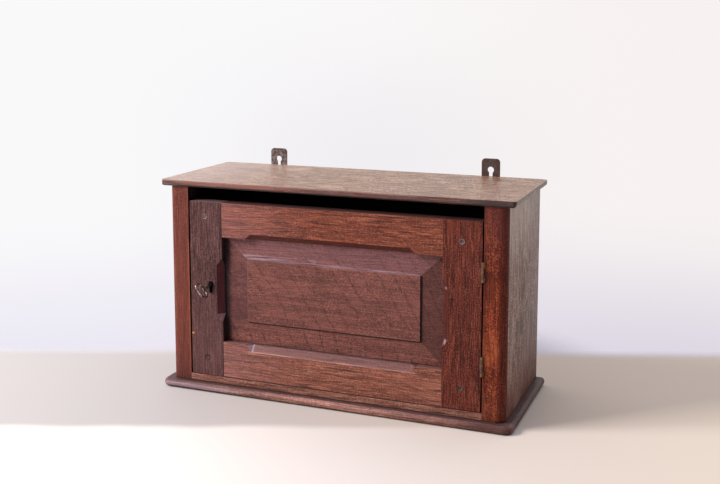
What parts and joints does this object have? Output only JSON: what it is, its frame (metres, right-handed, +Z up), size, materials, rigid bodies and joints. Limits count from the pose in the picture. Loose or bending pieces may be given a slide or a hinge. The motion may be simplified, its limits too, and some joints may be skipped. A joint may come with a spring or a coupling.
{
  "type": "wall cabinet",
  "caption": "Small oak wall cabinet: one hinged door with a raised and fielded panel, a key lock, an open slot above the door and two hangers at the back.",
  "frame": {"origin": "middle of the carcass footprint, between the outer faces of the posts and between the front of the posts and the back, on the underside of the base board", "axes": "+Z up, +X to the right when facing the door, +Y into the cabinet, so the door faces -Y"},
  "size_m": [0.483, 0.2176, 0.307],
  "materials": {
    "dark_oak": "worn wax over old stain",
    "red_oak": "worn wax over old stain",
    "rail_oak": "worn wax over old stain",
    "top_oak": "worn wax over old stain",
    "side_oak": "worn wax over old stain",
    "old_pine": "bare, darkened",
    "dark_iron": "dark, slightly rusted",
    "key_steel": "worn bright on the bow",
    "old_brass": "tarnished"
  },
  "bodies": {
    "cabinet": {"base_board": "dark_oak", "bottom_board": "rail_oak", "top_board": "top_oak", "left_side_board": "side_oak", "right_side_board": "side_oak", "left_front_post": "red_oak", "right_front_post": "red_oak", "lower_back_board": "old_pine", "upper_back_board": "old_pine", "glue_blocks": "old_pine", "door_stop": "rail_oak", "left_hanger": "dark_iron", "right_hanger": "dark_iron", "hanger_screws": "dark_iron", "back_nails": "dark_iron", "side_nails": "dark_iron", "base_screws": "dark_iron", "upper_hinge_post_leaf": "old_brass", "lower_hinge_post_leaf": "old_brass", "hinge_pins": "old_brass", "post_leaf_screws": "old_brass"},
    "door": {"left_stile": "dark_oak", "right_stile": "red_oak", "top_rail": "rail_oak", "bottom_rail": "rail_oak", "raised_panel": "rail_oak", "draw_pegs": "dark_oak", "upper_hinge_door_leaf": "old_brass", "lower_hinge_door_leaf": "old_brass", "door_leaf_screws": "old_brass", "lock_case": "dark_iron", "lock_cap": "dark_iron", "lock_screws": "dark_iron", "lock_spring": "old_brass"},
    "lock_bolt": {"lock_bolt": "old_brass"},
    "key": {"key": "key_steel"}
  },
  "joints": [
    {"name": "door_swing", "type": "hinge", "parent": "cabinet", "child": "door", "pos_m": [0.20075, -0.092, 0.1382], "axis": [0, 0, 1], "range_deg": [0, 170]},
    {"name": "key_turn", "type": "hinge", "parent": "door", "child": "key", "pos_m": [-0.1693, -0.091, 0.1456], "axis": [0, -1, 0], "range_deg": [-38, 322]},
    {"name": "bolt_slide", "type": "slide", "parent": "door", "child": "lock_bolt", "axis": [-1, 0, 0], "range_m": [-0.00085, 0.00717]}
  ],
  "couplings": [
    {"joint": "bolt_slide", "follows": "key_turn", "m_per_rad": 0.0012732}
  ]
}
